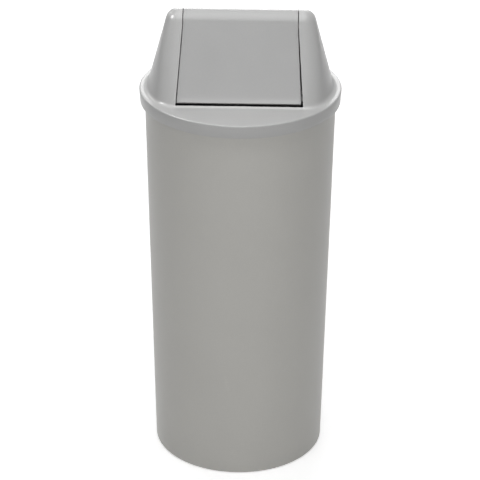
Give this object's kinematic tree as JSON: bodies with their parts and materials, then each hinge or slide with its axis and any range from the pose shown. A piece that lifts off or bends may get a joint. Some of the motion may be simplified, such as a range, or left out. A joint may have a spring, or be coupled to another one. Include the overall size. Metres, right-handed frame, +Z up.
{
  "type": "dome top waste receptacle",
  "caption": "Round free-standing waste bin with a lift-off dome hood, a spring-shut push door in its front slope and a rigid metal liner with wire handles.",
  "frame": {"origin": "centre of the foot, on the floor", "axes": "+Z up, -Y towards the front with the push door, +X to the right seen from the front"},
  "size_m": [0.391, 0.391, 0.931],
  "materials": {
    "body_plastic": "satin moulded warm light grey",
    "hood_plastic": "satin moulded light grey",
    "door_plastic": "satin moulded light grey",
    "nylon": "natural bearing plastic",
    "rubber": "matt black",
    "zinc_steel": "bright zinc plate",
    "spring_steel": "oiled wire",
    "galvanised_sheet": "galvanised, fine spangle"
  },
  "bodies": {
    "bin": {"body_shell": "body_plastic"},
    "hood": {"hood_shell": "hood_plastic", "left_hinge_bush": "nylon", "right_hinge_bush": "nylon", "left_torsion_spring": "spring_steel", "right_torsion_spring": "spring_steel"},
    "door": {"push_door": "door_plastic", "hinge_rod": "zinc_steel", "left_push_nut": "zinc_steel", "right_push_nut": "zinc_steel", "left_door_bumper": "rubber", "right_door_bumper": "rubber"},
    "liner": {"liner_wall": "galvanised_sheet", "liner_base": "galvanised_sheet", "bag_band": "rubber", "left_front_ear": "galvanised_sheet", "left_rear_ear": "galvanised_sheet", "right_front_ear": "galvanised_sheet", "right_rear_ear": "galvanised_sheet", "left_front_lower_rivet": "zinc_steel", "left_front_upper_rivet": "zinc_steel", "left_rear_lower_rivet": "zinc_steel", "left_rear_upper_rivet": "zinc_steel", "right_front_lower_rivet": "zinc_steel", "right_front_upper_rivet": "zinc_steel", "right_rear_lower_rivet": "zinc_steel", "right_rear_upper_rivet": "zinc_steel"},
    "left_handle": {"left_liner_handle": "zinc_steel"},
    "right_handle": {"right_liner_handle": "zinc_steel"}
  },
  "joints": [
    {"name": "hood_lift", "type": "slide", "parent": "bin", "child": "hood", "axis": [0, 0, 1], "range_m": [0, 1.55]},
    {"name": "door_swing", "type": "hinge", "parent": "hood", "child": "door", "pos_m": [0, 0, 0.899], "axis": [1, 0, 0], "range_deg": [0, 65], "stiffness_Nm_per_rad": 0.25, "springref_deg": -114.59, "deforming": ["left_torsion_spring", "right_torsion_spring"]},
    {"name": "liner_lift", "type": "slide", "parent": "bin", "child": "liner", "axis": [0, 0, 1], "range_m": [0, 0.775]},
    {"name": "left_handle_swing", "type": "hinge", "parent": "liner", "child": "left_handle", "pos_m": [-0.14833, 0, 0.66987], "axis": [0, -1, 0], "range_deg": [0, 165]},
    {"name": "right_handle_swing", "type": "hinge", "parent": "liner", "child": "right_handle", "pos_m": [0.14833, 0, 0.66987], "axis": [0, 1, 0], "range_deg": [0, 165]}
  ],
  "couplings": [
    {"joint": "liner_lift", "follows": "hood_lift", "ratio": 0.5}
  ]
}
